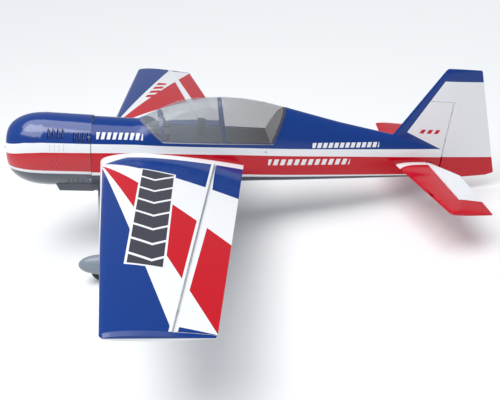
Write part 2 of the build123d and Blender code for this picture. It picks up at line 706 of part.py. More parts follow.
# --- rudder ---------------------------------------------------------------------------------
with BuildPart() as rudder:
    loft([fin_section(RUDDER_FOOT), fin_section(FIN_TOP - 5)], ruled=True)
    loft([fin_section(FIN_TOP - 5), fin_section(FIN_TOP, shrink=3.0)], ruled=True)
    side_view = outline(
        upright(0), (FIN_HINGE + 0.2, RUDDER_FOOT), (1485, -62), (1572, -54), (1596, -46), (1640, -20),
        (1640, 320), (1200, 320), (1200, FIN_GAP + END_GAP), (FIN_HINGE + 0.2, FIN_GAP + END_GAP),
    )
    extrude(side_view, amount=30, both=True, mode=Mode.INTERSECT)
    nose_reach = (FIN_GAP + END_GAP - RUDDER_FOOT) / 2
    bevel_nose(fin_seat(FIN_GAP + END_GAP - nose_reach), nose_reach)
    for height in RUDDER_HINGES:
        hinge_relief(fin_seat(height))
park(rudder.part.solids().sort_by(SortBy.VOLUME)[-1], "rudder")

seat = fin_seat(RUDDER_LINK)
place = shift(seat, *RUDDER_SERVO)
build_servo(place, "rudder_servo", -1)
build_arm(place, "rudder_arm", 1, -1)
build_horn(seat, "rudder_horn", 1, -1, (6, 8.5, 24))
build_rod(seat, RUDDER_SERVO, "rudder_pushrod", 1, -1)

with BuildPart() as surface_hinges:
    for side in (-1, 1):
        for span in AILERON_HINGES:
            hinge_piece(aileron_seat(side, span))
        for span in ELEVATOR_HINGES:
            hinge_piece(stab_seat(side * span))
    for height in RUDDER_HINGES:
        hinge_piece(fin_seat(height))
park(surface_hinges.part, "surface_hinges")

# --- undercarriage --------------------------------------------------------------------------
GEAR_FRONT, GEAR_REAR = 256.0, 306.0
SCREW_X = 236.0
with BuildPart() as main_gear:
    for side in (-1, 1):
        leg = outline(
            across(GEAR_FRONT), (0, -124), (side * 50, -124), (side * 76, -140), (side * 222, -258),
            (side * 228, -266), (side * 228, -298), (side * 224, -298), (side * 224, -267.5),
            (side * 219.5, -261.5), (side * 74.5, -144), (side * 49, -128), (0, -128),
        )
        extrude(leg, amount=GEAR_REAR - GEAR_FRONT)
    # each leg narrows towards its axle
    for side in (-1, 1):
        for edge, out in ((GEAR_FRONT, -1), (GEAR_REAR, 1)):
            trim = outline(
                upright(0), (edge, -130), (edge + 10 * out, -130), (edge + 10 * out, -310),
                (WHEEL_X + 13 * out, -310), (WHEEL_X + 13 * out, -262),
            )
            extrude(trim, amount=240, both=True, mode=Mode.SUBTRACT)
    extrude(disc(upright(0), AXLE_RADIUS, WHEEL_X, WHEEL_Z), amount=240, both=True, mode=Mode.SUBTRACT)
park(main_gear.part, "main_gear")

with BuildPart() as screws:
    # four hold the gear under the belly, four hold the cowl
    for x in (GEAR_FRONT + 12, GEAR_REAR - 12):
        for y in (-24, 24):
            extrude(disc(Plane.XY.offset(-128), 4.0, x, y), amount=-3)
    for turn in (40, 140, 215, 325):
        across_share, up_share = math.cos(math.radians(turn)), math.sin(math.radians(turn))
        half_width, half_height = cowl_size(SCREW_X)
        spot = (SCREW_X, half_width * across_share, COWL_MIDDLE + half_height * up_share)
        outward = Vector(0, across_share / half_width, up_share / half_height)
        extrude(disc(Plane(origin=spot, z_dir=outward).offset(0.15), 3.2), amount=1.2)
park(screws.part, "screws")

with BuildPart() as axles:
    for side in (-1, 1):
        inner = upright(side * 218)
        extrude(disc(inner, AXLE_RADIUS, WHEEL_X, WHEEL_Z), amount=-side * 62)
        for at, wide in ((218.0, 5.0), (228.6, 5.0)):
            nut = upright(side * at)
            extrude(disc(nut, 4.8, WHEEL_X, WHEEL_Z), amount=-side * wide)
park(axles.part, "axles")


def build_fairing(side, name):
    """Teardrop wheel fairing, hollow and open underneath for the tyre."""
    def ring(x, high, wide, skin):
        with BuildSketch(across(x)) as section:
            with Locations((side * WHEEL_Y, FAIRING_Z)):
                Ellipse(wide - skin, high - skin)
        return section.sketch

    with BuildPart() as fairing:
        loft([ring(x, high, wide, 0) for x, high, wide in FAIRING_STATIONS])
        loft([ring(x, high, wide, 1.5) for x, high, wide in FAIRING_STATIONS[1:-1]], mode=Mode.SUBTRACT)
        well = panel(Plane.XY.offset(-286), 98, 31, WHEEL_X + 2, side * WHEEL_Y)
        extrude(well, amount=-40, mode=Mode.SUBTRACT)
        extrude(disc(upright(side * 215), 5.2, WHEEL_X, WHEEL_Z), amount=-side * 22, mode=Mode.SUBTRACT)
        leg_face = panel(upright(side * 228.3), 60, 60, WHEEL_X, -280)
        extrude(leg_face, amount=side * 20, mode=Mode.SUBTRACT)
        bore = disc(upright(side * 250), AXLE_RADIUS + 0.1, WHEEL_X, WHEEL_Z)
        extrude(bore, amount=-side * 60, mode=Mode.SUBTRACT)
    park(fairing.part.solids().sort_by(SortBy.VOLUME)[-1], name)


def build_wheel(x, y, z, radius, wide, hub_radius, bore, names):
    """Tyre and hub that turn on one axle."""
    half = wide / 2
    with BuildPart() as tyre:
        with BuildSketch(across(x)) as profile:
            with BuildLine():
                Polyline(
                    (y - half * 0.8, z + hub_radius), (y + half * 0.8, z + hub_radius),
                    (y + half, z + hub_radius + 0.3 * (radius - hub_radius)),
                    (y + half, z + hub_radius + 0.62 * (radius - hub_radius)),
                )
                ThreePointArc(
                    (y + half, z + hub_radius + 0.62 * (radius - hub_radius)), (y, z + radius),
                    (y - half, z + hub_radius + 0.62 * (radius - hub_radius)),
                )
                Polyline(
                    (y - half, z + hub_radius + 0.62 * (radius - hub_radius)),
                    (y - half, z + hub_radius + 0.3 * (radius - hub_radius)),
                    (y - half * 0.8, z + hub_radius),
                )
            make_face()
        revolve(profile.sketch, axis=Axis((x, y, z), (0, 1, 0)))
    park(tyre.part, names[0])
    with BuildPart() as hub:
        rim = upright(y)
        extrude(disc(rim, hub_radius, x, z), amount=half * 0.5, both=True)
        extrude(disc(rim, bore + 3.5, x, z), amount=half * 0.9, both=True)
        extrude(disc(rim, bore + FIT, x, z), amount=wide, both=True, mode=Mode.SUBTRACT)
    park(hub.part, names[1])


for side, hand in ((-1, "left"), (1, "right")):
    build_fairing(side, f"{hand}_wheel_fairing")
    build_wheel(
        WHEEL_X, side * WHEEL_Y, WHEEL_Z, WHEEL_RADIUS, WHEEL_WIDTH, 22.0, AXLE_RADIUS,
        (f"{hand}_tyre", f"{hand}_wheel_hub"),
    )

with BuildPart() as tail_gear_bracket:
    strip = outline(
        upright(0), (1318, -69.5), (1386, -66.8), (1486, -76), (1486, -79), (1385, -69.8), (1318, -72.5)
    )
    extrude(strip, amount=6, both=True)
    pivot = Plane.XY.offset(-84)
    extrude(disc(pivot, 4.0, TAIL_PIVOT, 0), amount=13)
    extrude(panel(Plane.XY.offset(-79), 8, 8, 1486, 0), amount=3)
    extrude(disc(pivot, 1.5 + FIT, TAIL_PIVOT, 0), amount=13, mode=Mode.SUBTRACT)
park(tail_gear_bracket.part, "tail_gear_bracket")

with BuildPart() as tail_fork:
    extrude(disc(Plane.XY.offset(-86), 1.5, TAIL_PIVOT, 0), amount=17)
    extrude(panel(Plane.XY.offset(-86.6), 14, 14.6, TAIL_PIVOT + 3, 0), amount=2.2)
    for side in (-1, 1):
        blade = outline(
            upright(side * 7.3),
            (TAIL_PIVOT - 4, -84.4), (TAIL_PIVOT + 10, -84.4), (TAIL_WHEEL_X + 4, TAIL_WHEEL_Z),
            (TAIL_WHEEL_X, TAIL_WHEEL_Z - 5), (TAIL_WHEEL_X - 5, TAIL_WHEEL_Z),
        )
        extrude(blade, amount=side * 2)
    extrude(disc(upright(0), 1.5, TAIL_WHEEL_X, TAIL_WHEEL_Z), amount=8.5, both=True)
park(tail_fork.part, "tail_fork")

build_wheel(
    TAIL_WHEEL_X, 0, TAIL_WHEEL_Z, TAIL_WHEEL_RADIUS, TAIL_WHEEL_WIDTH, 8.0, 1.5,
    ("tail_tyre", "tail_wheel_hub"),
)

# --- engine and its mount ---------------------------------------------------------------------
FIREWALL = 186.0
CYLINDER_X = 118.0
with BuildPart() as engine_box:
    extrude(panel(across(FIREWALL), 108, 108, 0, 0), amount=COWL_SEAM - FIREWALL - 0.2)
    extrude(panel(across(FIREWALL + 6), 100, 100, 0, 0), amount=COWL_SEAM - FIREWALL, mode=Mode.SUBTRACT)
park(engine_box.part, "engine_box")

with BuildPart() as engine_standoffs:
    for y in (-26, 26):
        for z in (-26, 26):
            extrude(disc(across(FIREWALL), 5.0, y, z), amount=-34)
park(engine_standoffs.part, "engine_standoffs")

with BuildPart() as crankcase:
    extrude(panel(across(FIREWALL - 34), 68, 68, 0, 0), amount=-5)
    extrude(disc(across(FIREWALL - 39), 29, 0, 0), amount=-56)
    extrude(disc(across(FIREWALL - 95), 17, 0, 0), amount=-61)
    extrude(disc(Plane.XY.offset(0), 22, CYLINDER_X, 0), amount=-34)
    extrude(disc(across(FIREWALL - 100), 5.05, 0, 0), amount=-60, mode=Mode.SUBTRACT)
    fillet(crankcase.edges().filter_by(GeomType.CIRCLE).group_by(Axis.X)[2], 3)
park(crankcase.part, "crankcase")

with BuildPart() as cylinder:
    extrude(disc(Plane.XY.offset(-34), 19, CYLINDER_X, 0), amount=-66)
    for fin_step in range(9):
        extrude(disc(Plane.XY.offset(-40 - 6.6 * fin_step), 29 - fin_step % 2, CYLINDER_X, 0), amount=-2.2)
    extrude(disc(Plane.XY.offset(-100), 4.0, CYLINDER_X, 0), amount=10, mode=Mode.SUBTRACT)
park(cylinder.part, "cylinder")

with BuildPart() as spark_plug:
    extrude(disc(Plane.XY.offset(-109), 4.0, CYLINDER_X, 0), amount=19)
    with BuildSketch(Plane.XY.offset(-104)) as hexagon:
        with Locations((CYLINDER_X, 0)):
            RegularPolygon(6.5, 6)
    extrude(hexagon.sketch, amount=4)
park(spark_plug.part, "spark_plug")

with BuildPart() as muffler:
    extrude(disc(across(100), 16, 53, -46), amount=80)
    extrude(panel(upright(30), 26, 20, CYLINDER_X, -50), amount=-10)
    extrude(disc(Plane.XY.offset(-58), 5, 168, 46), amount=-42)
park(muffler.part, "muffler")

with BuildPart() as carburettor:
    extrude(panel(upright(30), 26, 26, 100, 0), amount=-4)
    extrude(panel(upright(34), 30, 30, 100, 0), amount=-22)
    extrude(disc(across(84), 8, 45, 0), amount=-10)
park(carburettor.part, "carburettor")

with BuildPart() as propeller_hub:
    # crankshaft end with its drive washer, for a propeller and its nut
    extrude(disc(across(60), 5.0, 0, 0), amount=COWL_FACE - 12 - 60)
    extrude(disc(across(6), 17, 0, 0), amount=-8)
    extrude(disc(across(29), 11, 0, 0), amount=-23)
park(propeller_hub.part, "propeller_hub")

# --- fuel tank and radio gear -------------------------------------------------------------------
with BuildPart() as fuel_tank:
    extrude(panel(across(262), 96, 70, 0, 36), amount=116)
    fillet(fuel_tank.edges().filter_by(Axis.X), 14)
    extrude(disc(across(262), 12, 0, 40), amount=-6)
park(fuel_tank.part, "fuel_tank")

with BuildPart() as battery:
    extrude(panel(across(262), 62, 32, 0, -78), amount=104)
    fillet(battery.edges().filter_by(Axis.X), 6)
park(battery.part, "battery")

with BuildPart() as receiver:
    extrude(panel(across(470), 40, 18, 0, -80), amount=56)
    chamfer(receiver.edges().filter_by(Axis.X), 2)
    extrude(panel(across(526), 32, 8, 0, -80), amount=4)
park(receiver.part, "receiver")
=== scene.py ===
import json
import math

import bpy
from mathutils import Matrix, Vector


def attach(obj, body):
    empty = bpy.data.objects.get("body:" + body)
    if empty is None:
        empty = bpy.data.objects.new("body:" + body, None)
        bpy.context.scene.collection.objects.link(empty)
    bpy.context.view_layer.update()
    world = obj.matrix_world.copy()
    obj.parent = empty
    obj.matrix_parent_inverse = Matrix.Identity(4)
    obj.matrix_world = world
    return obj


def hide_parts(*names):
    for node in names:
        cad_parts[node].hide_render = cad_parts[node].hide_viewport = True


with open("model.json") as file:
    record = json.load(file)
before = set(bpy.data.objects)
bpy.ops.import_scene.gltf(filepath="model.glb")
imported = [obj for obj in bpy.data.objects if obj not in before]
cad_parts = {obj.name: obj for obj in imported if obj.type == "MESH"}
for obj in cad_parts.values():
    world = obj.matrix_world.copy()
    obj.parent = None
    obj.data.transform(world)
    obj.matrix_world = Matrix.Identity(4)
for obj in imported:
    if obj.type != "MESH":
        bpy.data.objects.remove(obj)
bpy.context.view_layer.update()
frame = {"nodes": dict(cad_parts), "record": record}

# --- the level datum ------------------------------------------------------------------------
# The model is drawn level: X aft from the cowl's face, Y to starboard, Z up from the thrust
# line, in millimetres.  It stands tail-down on its wheels, so every place is tipped by SIT.
SIT = math.radians(9.624376)
RIDE_HEIGHT = 369.00136
MIDDLE = 771.0
COS, SIN = math.cos(SIT), math.sin(SIT)
MM = 0.001


def parked(x, y, z):
    """A level place in millimetres, as a place in metres on the parked model."""
    return Vector((x * COS + z * SIN - MIDDLE, y, z * COS - x * SIN + RIDE_HEIGHT)) * MM


def turned(x, y, z):
    """A level direction, on the parked model."""
    return Vector((x * COS + z * SIN, y, z * COS - x * SIN))


# --- colours --------------------------------------------------------------------------------
def colour(code):
    """Linear colour from an sRGB hex code."""
    shares = [int(code[k:k + 2], 16) / 255 for k in (1, 3, 5)]
    linear = [s / 12.92 if s <= 0.04045 else ((s + 0.055) / 1.055) ** 2.4 for s in shares]
    return (*linear, 1.0)


BLUE = colour("#003583")
RED = colour("#c4001a")
WHITE = colour("#eceef1")
BELLY_GREY = colour("#474d59")
MARK_GREY = colour("#3c3c46")
# painted shade: the dark strip along the cowl's back edge, where it meets the fuselage
JOINT_SHADE = colour("#14161c")


# --- shader helpers -------------------------------------------------------------------------
def add(tree, kind, inputs, **settings):
    """Add one shader node with its settings, and fill or wire each of its inputs."""
    node = tree.nodes.new("ShaderNode" + kind)
    for name, value in settings.items():
        setattr(node, name, value)
    for name, value in inputs.items():
        if isinstance(value, bpy.types.NodeSocket):
            tree.links.new(value, node.inputs[name])
        else:
            node.inputs[name].default_value = value
    return node


def level_place(tree):
    """Where a spot is on the level model, in millimetres: the place, and its x, y and z."""
    spot = add(tree, "TexCoord", {}).outputs["Object"]
    place = add(tree, "Mapping", {
        "Vector": spot,
        "Scale": (1 / MM, 1 / MM, 1 / MM),
        "Rotation": (0.0, -SIT, 0.0),
        "Location": (
            MIDDLE * COS + RIDE_HEIGHT * SIN,
            0.0,
            MIDDLE * SIN - RIDE_HEIGHT * COS,
        ),
    }).outputs[0]
    return place, *add(tree, "SeparateXYZ", {0: place}).outputs


def side_view(tree):
    """The level model seen from the side: distance aft and height."""
    place, x, y, z = level_place(tree)
    return add(tree, "CombineXYZ", {0: x, 1: z, 2: 1.0}).outputs[0]


def top_view(tree):
    """The level model seen from above: distance aft and distance out from the middle."""
    place, x, y, z = level_place(tree)
    out = add(tree, "Math", {0: y}, operation="ABSOLUTE").outputs[0]
    return add(tree, "CombineXYZ", {0: x, 1: out, 2: 1.0}).outputs[0]


def cut(tree, view, points, join="MINIMUM"):
    """How far to the left of the straight cuts through these points a spot lies, in mm.
    MINIMUM wants it left of every cut, as inside a panel, and MAXIMUM left of any of them."""
    reach = None
    for (x0, y0), (x1, y1) in zip(points, points[1:]):
        run = math.hypot(x1 - x0, y1 - y0)
        lean = ((y0 - y1) / run, (x1 - x0) / run, (x0 * y1 - x1 * y0) / run)
        here = add(tree, "VectorMath", {0: view, 1: lean}, operation="DOT_PRODUCT").outputs["Value"]
        if reach is None:
            reach = here
        else:
            reach = add(tree, "Math", {0: reach, 1: here}, operation=join).outputs[0]
    return reach


def lay(tree, under, over, reach, margin=0.0):
    """One film laid on another wherever the reach is past the margin."""
    shown = add(tree, "Math", {0: reach, 1: margin}, operation="GREATER_THAN").outputs[0]
    return add(tree, "Mix", {0: shown, 6: under, 7: over}, data_type="RGBA").outputs[2]


def bars(tree, view, lean, pitch, share, panel):
    """Slanting bars across a panel: more than nought inside a bar and inside the panel."""
    along = add(tree, "VectorMath", {0: view, 1: lean}, operation="DOT_PRODUCT").outputs["Value"]
    turn = add(tree, "Math", {0: along, 1: pitch}, operation="DIVIDE").outputs[0]
    phase = add(tree, "Math", {0: turn}, operation="FRACT").outputs[0]
    inside = add(tree, "Math", {0: share, 1: phase}, operation="SUBTRACT").outputs[0]
    return add(tree, "Math", {0: inside, 1: panel}, operation="MINIMUM").outputs[0]


def finish(name, tone, **surface):
    """A material of one tone, which its own pattern then varies."""
    material = bpy.data.materials.new(name)
    material.use_nodes = True
    shader = material.node_tree.nodes["Principled BSDF"]
    shader.inputs["Base Color"].default_value = tone
    for socket, value in surface.items():
        shader.inputs[socket.replace("_", " ")].default_value = value
    return material


def grain(material, size, depth, strength=0.5, detail=2.0):
    """Surface unevenness with features this many millimetres across and deep."""
    tree = material.node_tree
    spot = add(tree, "TexCoord", {}).outputs["Object"]
    noise = add(tree, "TexNoise", {"Vector": spot, "Scale": 1 / (size * MM), "Detail": detail})
    bump = add(tree, "Bump", {"Height": noise.outputs[0], "Strength": strength, "Distance": depth * MM})
    tree.links.new(bump.outputs[0], tree.nodes["Principled BSDF"].inputs["Normal"])


def mottle(material, size, low, high):
    """Roughness that drifts between two values over patches of this many millimetres."""
    tree = material.node_tree
    spot = add(tree, "TexCoord", {}).outputs["Object"]
    noise = add(tree, "TexNoise", {"Vector": spot, "Scale": 1 / (size * MM), "Detail": 3.0})
    spread = add(tree, "MapRange", {0: noise.outputs[0], 1: 0.3, 2: 0.7, 3: low, 4: high})
    tree.links.new(spread.outputs[0], tree.nodes["Principled BSDF"].inputs["Roughness"])


def paint(material, tone):
    """Wire a laid-up scheme into the material's colour."""
    tree = material.node_tree
    tree.links.new(tone, tree.nodes["Principled BSDF"].inputs["Base Color"])
    return material


# --- colour schemes -------------------------------------------------------------------------
BLUE_EDGE = [(0, 34), (50, 46), (100, 50), (700, 50), (1391, 39)]
RED_TOP = [(0, 6), (50, 17), (100, 22), (243, 24.5), (700, 27), (1058, 20), (1391, 11)]
RED_FOOT = [(0, -38), (243, -38), (717, -41), (1231, -50), (1391, -53)]
BELLY_EDGE = [(0, -48), (243, -48), (717, -50), (1232, -55), (1391, -57)]
FIN_PANEL = [(1255, 95.4), (1600, -54), (1600, 277), (1347.4, 271.4), (1255, 95.4)]
RUDDER_PANEL = [(1209, 8), (1700, 15), (1700, 277), (1347.4, 271.4), (1209, 8)]


def box_cut(x0, x1, z0, z1, slant=0.0):
    """Corners of an upright patch, its upper edge set back by the slant."""
    return [(x0, z0), (x1, z0), (x1 + slant, z1), (x0 + slant, z1), (x0, z0)]


def hull_scheme(tree):
    """Blue back, white and red side bands, a thin white line and a grey belly."""
    view = side_view(tree)
    tone = lay(tree, BELLY_GREY, WHITE, cut(tree, view, BELLY_EDGE, "MAXIMUM"))
    tone = lay(tree, tone, RED, cut(tree, view, RED_FOOT, "MAXIMUM"))
    tone = lay(tree, tone, WHITE, cut(tree, view, RED_TOP, "MAXIMUM"))
    tone = lay(tree, tone, BLUE, cut(tree, view, BLUE_EDGE, "MAXIMUM"))
    return view, lay(tree, tone, WHITE, cut(tree, view, FIN_PANEL))


def fuselage_scheme(tree):
    """The side bands with three rows of plain dashes."""
    view, tone = hull_scheme(tree)
    for patch, pitch, share in (
        (box_cut(258, 396, 63, 80), 17.0, 0.6),
        (box_cut(928, 1158, 50, 66), 19.0, 0.7),
        (box_cut(788, 1062, -7, 13), 23.0, 0.62),
    ):
        panel = cut(tree, view, patch)
        tone = lay(tree, tone, WHITE, bars(tree, view, (1.0, -0.25, 0.0), pitch, share, panel))
    return tone


def cowl_scheme(tree):
    """The side bands, ending in a dark strip of painted shade where the cowl meets the fuselage."""
    view, tone = hull_scheme(tree)
    # the cowl aft of 241.4 mm takes a dark strip of painted shade at the joint
    return lay(tree, tone, JOINT_SHADE, cut(tree, view, [(241.4, 300), (241.4, -300)]))


def fin_scheme(tree):
    """White fin panel inside a blue leading edge, with three short red dashes."""
    view, tone = hull_scheme(tree)
    panel = cut(tree, view, box_cut(1294, 1368, 93, 107, 6))
    return lay(tree, tone, RED, bars(tree, view, (1.0, -0.5, 0.0), 25.0, 0.6, panel))


def rudder_scheme(tree):
    """Blue cap, white panel and red foot."""
    view = side_view(tree)
    tone = lay(tree, BLUE, WHITE, cut(tree, view, RUDDER_PANEL))
    return lay(tree, tone, RED, cut(tree, view, [(1700, 15), (1209, 8)]))


LEAD_EDGE = [(281, 155), (474.5, 871)]
LEAD_STRIP = [(281.5, 150), (319, 640)]
INNER_PANEL = [(287, 142), (352, 113), (900, 112), (900, 416), (287, 142)]
RED_RAY = [(281.5, 149), (900, 885), (611.6, 1000), (281.5, 149)]
TIP_WEDGE = [(489, 877), (566, 892)]
HINGE_MARGIN = [(619, 100), (572.5, 480), (491, 893), (473, 893), (607, 100), (619, 100)]
TIP_CAP = [(300, 893.5), (900, 893.5)]
MARK_PANEL = [(400, 193), (490, 220), (461, 681), (381, 665), (400, 193)]
MARK_EDGE = [(395, 187), (495, 215), (466, 687), (375, 670), (395, 187)]
MARK_SPINE = 436.0
DASH_PANEL = [(386, 470), (420, 470), (468, 676), (434, 676), (386, 470)]


def wing_scheme(tree):
    """Red and white rays from the leading edge's root, blue panels, and a white underside."""
    view = top_view(tree)
    tone = lay(tree, WHITE, RED, cut(tree, view, RED_RAY))
    tone = lay(tree, tone, BLUE, cut(tree, view, INNER_PANEL))
    tone = lay(tree, tone, BLUE, cut(tree, view, LEAD_EDGE))
    tone = lay(tree, tone, WHITE, cut(tree, view, LEAD_STRIP))
    # the port wing carries a block of plain chevrons, edged in white
    place, x, y, z = level_place(tree)
    to_port = add(tree, "Math", {0: y, 1: -1.0}, operation="MULTIPLY").outputs[0]
    edge = cut(tree, view, MARK_EDGE)
    edge = add(tree, "Math", {0: edge, 1: to_port}, operation="MINIMUM").outputs[0]
    tone = lay(tree, tone, WHITE, edge)
    panel = cut(tree, view, MARK_PANEL)
    panel = add(tree, "Math", {0: panel, 1: to_port}, operation="MINIMUM").outputs[0]
    x, out, one = add(tree, "SeparateXYZ", {0: view}).outputs
    off = add(tree, "Math", {0: x, 1: MARK_SPINE}, operation="SUBTRACT").outputs[0]
    off = add(tree, "Math", {0: off}, operation="ABSOLUTE").outputs[0]
    folded = add(tree, "CombineXYZ", {0: off, 1: out, 2: 1.0}).outputs[0]
    tone = lay(tree, tone, MARK_GREY, bars(tree, folded, (0.55, 1.0, 0.0), 66.0, 0.86, panel))
    # the starboard wing has four short red dashes in its white ray
    ray = cut(tree, view, DASH_PANEL)
    ray = add(tree, "Math", {0: ray, 1: y}, operation="MINIMUM").outputs[0]
    return view, lay(tree, tone, RED, bars(tree, view, (-0.4, 1.0, 0.0), 52.0, 0.6, ray))


def fixed_wing_scheme(tree):
    """The wing's top scheme up to its white hinge margin, over a white underside."""
    view, tone = wing_scheme(tree)
    tone = lay(tree, tone, WHITE, cut(tree, view, HINGE_MARGIN))
    tone = lay(tree, tone, BLUE, cut(tree, view, TIP_CAP))
    return underside(tree, tone)


def aileron_scheme(tree):
    """The rays carried on past the white hinge margin, with a blue tip."""
    view, tone = wing_scheme(tree)
    tone = lay(tree, tone, BLUE, cut(tree, view, TIP_WEDGE))
    tone = lay(tree, tone, WHITE, cut(tree, view, HINGE_MARGIN))
    return underside(tree, tone)


def underside(tree, tone):
    """White below the plane through the leading and trailing edges."""
    place, x, y, z = level_place(tree)
    out = add(tree, "Math", {0: y}, operation="ABSOLUTE").outputs[0]
    spot = add(tree, "CombineXYZ", {0: x, 1: out, 2: z}).outputs[0]
    lean = (0.012, -0.004195, 1.0)
    height = add(tree, "VectorMath", {0: spot, 1: lean}, operation="DOT_PRODUCT").outputs["Value"]
    return lay(tree, WHITE, tone, height, 0.08)


STABILIZER_ROOT = [(1345, 37), (1279, 45.6), (1255, 53), (1225, 66)]
ELEVATOR_PANEL = [(1342, -10), (1500, -10), (1500, 292), (1342, 284), (1342, -10)]


def stabilizer_scheme(tree):
    """Red with a curved white band at the root."""
    view = top_view(tree)
    return lay(tree, RED, WHITE, cut(tree, view, STABILIZER_ROOT, "MAXIMUM"))


def elevator_scheme(tree):
    """White inside a red tip and horn balance."""
    view = top_view(tree)
    return lay(tree, RED, WHITE, cut(tree, view, ELEVATOR_PANEL))


def film(name, scheme):
    """Iron-on polyester film over balsa: glossy and tight, with a faint waviness from the wood."""
    material = finish(name, WHITE, Roughness=0.16, IOR=1.45)
    paint(material, scheme(material.node_tree))
    grain(material, 46.0, 0.35, 0.35)
    return material


FILM = {
    "fuselage": film("polyester_film_fuselage", fuselage_scheme),
    "fin": film("polyester_film_fin", fin_scheme),
    "rudder": film("polyester_film_rudder", rudder_scheme),
    "wing": film("polyester_film_wing", fixed_wing_scheme),
    "aileron": film("polyester_film_aileron", aileron_scheme),
    "stabilizer": film("polyester_film_stabilizer", stabilizer_scheme),
    "elevator": film("polyester_film_elevator", elevator_scheme),
}

# Painted glass-fibre: two-part enamel flows out flatter than film
cowl_enamel = finish(
    "two_part_enamel_cowl", BLUE, Roughness=0.14, IOR=1.5, Coat_Weight=0.4, Coat_Roughness=0.06,
)
paint(cowl_enamel, cowl_scheme(cowl_enamel.node_tree))
grain(cowl_enamel, 60.0, 0.2, 0.25)


def frame_scheme(tree):
    """Blue frame with a thin white line along the sill."""
    view = side_view(tree)
    return lay(tree, BLUE, WHITE, cut(tree, view, [(900, 62.0), (380, 61.0)]))


canopy_enamel = finish("enamel_canopy_frame", BLUE, Roughness=0.2, IOR=1.5)
paint(canopy_enamel, frame_scheme(canopy_enamel.node_tree))
grain(canopy_enamel, 30.0, 0.1, 0.3)

# Vacuum-formed PETG, faintly smoked: clear, with a gentle ripple from the mould; pale at the front with
# a painted reflection, fading aft into painted shade
canopy_petg = finish(
    "vacuum_formed_petg", colour("#8f959c"), Roughness=0.05, IOR=1.45, Alpha=0.24,
)
grain(canopy_petg, 70.0, 0.3, 0.3)
petg_tree = canopy_petg.node_tree
petg_place, petg_x, petg_y, petg_z = level_place(petg_tree)
# painted light: a pale painted reflection at the canopy's front fades aft into darker painted shade
REFLECTION_FADE_START, REFLECTION_FADE_END = 560.0, 760.0
petg_reflection_to_shade = add(petg_tree, "MapRange", {0: petg_x, 1: REFLECTION_FADE_START, 2: REFLECTION_FADE_END}).outputs[0]
petg_reflection_shade_tones = {0: petg_reflection_to_shade, 6: colour("#a9b0b8"), 7: colour("#6f6d6e")}
paint(canopy_petg, add(petg_tree, "Mix", petg_reflection_shade_tones, data_type="RGBA").outputs[2])

# Satin polyurethane on glass-fibre: soft highlights and a slight orange peel
grey_polyurethane = finish("satin_polyurethane_grey", colour("#7f8995"), Roughness=0.34, IOR=1.5)
grain(grey_polyurethane, 2.5, 0.04, 0.3)
mottle(grey_polyurethane, 40.0, 0.3, 0.4)

# Textured ABS tray: matt, dark, with a pebbled grain drawn at 2 mm so that it shows
cockpit_abs = finish("textured_abs_cockpit", colour("#4c4d50"), Roughness=0.7, IOR=1.53)
grain(cockpit_abs, 2.0, 0.15, 0.6)
cockpit_tree = cockpit_abs.node_tree
cockpit_view = side_view(cockpit_tree)
# the raked bulkhead behind the seat is a paler grey than the floor
BULKHEAD_EDGE = [(780, 200), (780, 64), (900, 64)]
bulkhead_reach = cut(cockpit_tree, cockpit_view, BULKHEAD_EDGE)
paint(cockpit_abs, lay(cockpit_tree, colour("#4c4d50"), colour("#a5a3a4"), bulkhead_reach))

# Moulded rubber: dull black, worn paler in patches
tyre_rubber = finish("moulded_rubber", colour("#1b1b1c"), Roughness=0.75, IOR=1.52)
grain(tyre_rubber, 1.2, 0.12, 0.7)
mottle(tyre_rubber, 9.0, 0.62, 0.85)

# Moulded nylon: milky white, slightly waxy
white_nylon = finish(
    "moulded_nylon_white", colour("#e4e4de"), Roughness=0.4, IOR=1.53,
    Subsurface_Weight=0.1, Subsurface_Scale=0.002,
)
grain(white_nylon, 1.5, 0.03, 0.4)

# Bright zinc-plated steel: polished by drawing, with fine scratches
plated_steel = finish("zinc_plated_steel", colour("#b9bbc0"), Metallic=1.0, Roughness=0.28)
mottle(plated_steel, 4.0, 0.2, 0.36)

# Die-cast aluminium, bead-blasted: pale grey and evenly rough
cast_aluminium = finish("bead_blasted_aluminium", colour("#b4b6b8"), Metallic=1.0, Roughness=0.45)
grain(cast_aluminium, 0.8, 0.05, 0.5)
mottle(cast_aluminium, 12.0, 0.4, 0.52)

# Moulded ABS cases: near black, lightly textured
black_abs = finish("moulded_abs_black", colour("#202124"), Roughness=0.5, IOR=1.53)
grain(black_abs, 1.0, 0.05, 0.5)

# Blow-moulded polyethylene: milky, with soft drifts in its wall
tank_polyethylene = finish(
    "blow_moulded_polyethylene", colour("#dedfd6"), Roughness=0.38, IOR=1.51,
    Transmission_Weight=0.25,
)
grain(tank_polyethylene, 14.0, 0.2, 0.4)

# Laser-cut birch ply: pale face veneer with a grain about 3 mm apart
birch_ply = finish("birch_plywood", colour("#c9a878"), Roughness=0.6, IOR=1.5)
ply_tree = birch_ply.node_tree
ply_spot = add(ply_tree, "TexCoord", {}).outputs["Object"]
ply_run = add(ply_tree, "Mapping", {"Vector": ply_spot, "Scale": (30.0, 330.0, 330.0)}).outputs[0]
ply_noise = add(ply_tree, "TexNoise", {"Vector": ply_run, "Scale": 1.0, "Detail": 4.0}).outputs[0]
ply_tones = {0: ply_noise, 6: colour("#b08a55"), 7: colour("#dcc096")}
paint(birch_ply, add(ply_tree, "Mix", ply_tones, data_type="RGBA").outputs[2])

